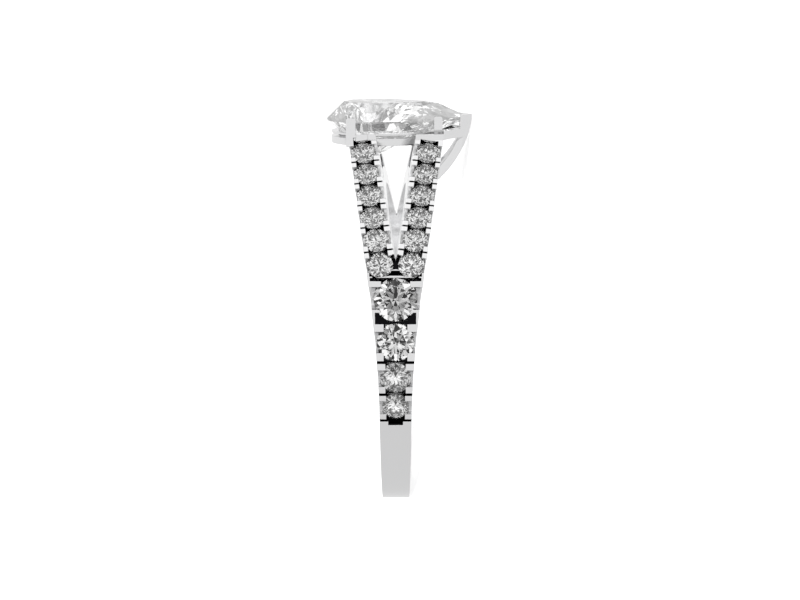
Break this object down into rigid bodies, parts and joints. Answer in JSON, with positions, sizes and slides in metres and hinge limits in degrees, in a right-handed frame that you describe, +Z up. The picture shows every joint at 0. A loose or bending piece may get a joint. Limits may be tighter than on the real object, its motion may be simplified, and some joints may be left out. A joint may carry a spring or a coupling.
{
  "type": "split shank ring",
  "caption": "Split shank ring: a pear-cut centre stone on a double gallery rail with corner and V prongs, and rows of small round stones down the arms and shanks, lying on its side.",
  "frame": {"origin": "centre of the finger hole", "axes": "+Z up from the surface it rests on, +X towards the centre stone, -Y towards the shank that the picture shows in front"},
  "size_m": [0.0233, 0.02, 0.0081],
  "materials": {
    "metal": "polished white gold",
    "centre_stone": "clear faceted",
    "small_stones": "clear faceted"
  },
  "bodies": {
    "root": {"ring_metal": "metal", "centre_stone": "centre_stone", "near_shank_stone_1": "small_stones", "near_shank_stone_2": "small_stones", "near_shank_stone_3": "small_stones", "near_shank_stone_4": "small_stones", "far_shank_stone_1": "small_stones", "far_shank_stone_2": "small_stones", "far_shank_stone_3": "small_stones", "far_shank_stone_4": "small_stones", "near_left_arm_stone_1": "small_stones", "near_left_arm_stone_2": "small_stones", "near_left_arm_stone_3": "small_stones", "near_left_arm_stone_4": "small_stones", "near_left_arm_stone_5": "small_stones", "near_left_arm_stone_6": "small_stones", "near_right_arm_stone_1": "small_stones", "near_right_arm_stone_2": "small_stones", "near_right_arm_stone_3": "small_stones", "near_right_arm_stone_4": "small_stones", "near_right_arm_stone_5": "small_stones", "near_right_arm_stone_6": "small_stones", "far_left_arm_stone_1": "small_stones", "far_left_arm_stone_2": "small_stones", "far_left_arm_stone_3": "small_stones", "far_left_arm_stone_4": "small_stones", "far_left_arm_stone_5": "small_stones", "far_left_arm_stone_6": "small_stones", "far_right_arm_stone_1": "small_stones", "far_right_arm_stone_2": "small_stones", "far_right_arm_stone_3": "small_stones", "far_right_arm_stone_4": "small_stones", "far_right_arm_stone_5": "small_stones", "far_right_arm_stone_6": "small_stones"}
  },
  "joints": []
}
